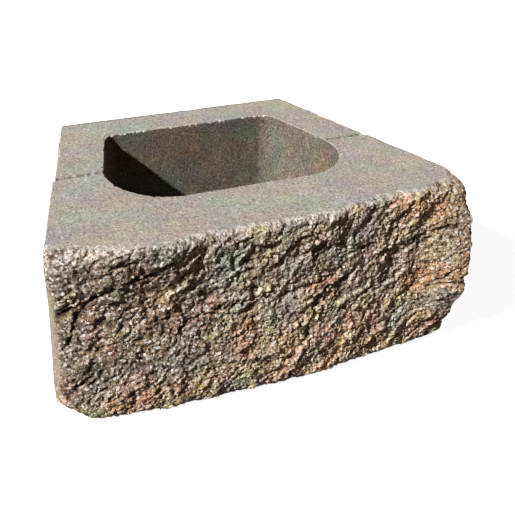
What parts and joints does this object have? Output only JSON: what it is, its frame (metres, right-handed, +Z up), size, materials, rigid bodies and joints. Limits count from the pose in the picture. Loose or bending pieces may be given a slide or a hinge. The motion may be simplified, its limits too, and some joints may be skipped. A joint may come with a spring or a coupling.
{
  "type": "retaining wall block",
  "caption": "Tapered concrete block with a rough split front face and an open core, stacked in courses to hold back a bank of soil.",
  "frame": {"origin": "on the bed face, in the middle of the block's nominal length and depth", "axes": "+X along the wall, +Y into the bank behind the wall, +Z up; the split face looks towards -Y"},
  "size_m": [0.4628, 0.2996, 0.2032],
  "materials": {
    "concrete": "dry-cast, smooth on the moulded faces and rough on the split face"
  },
  "bodies": {
    "root": {"retaining_wall_block": "concrete"}
  },
  "joints": []
}
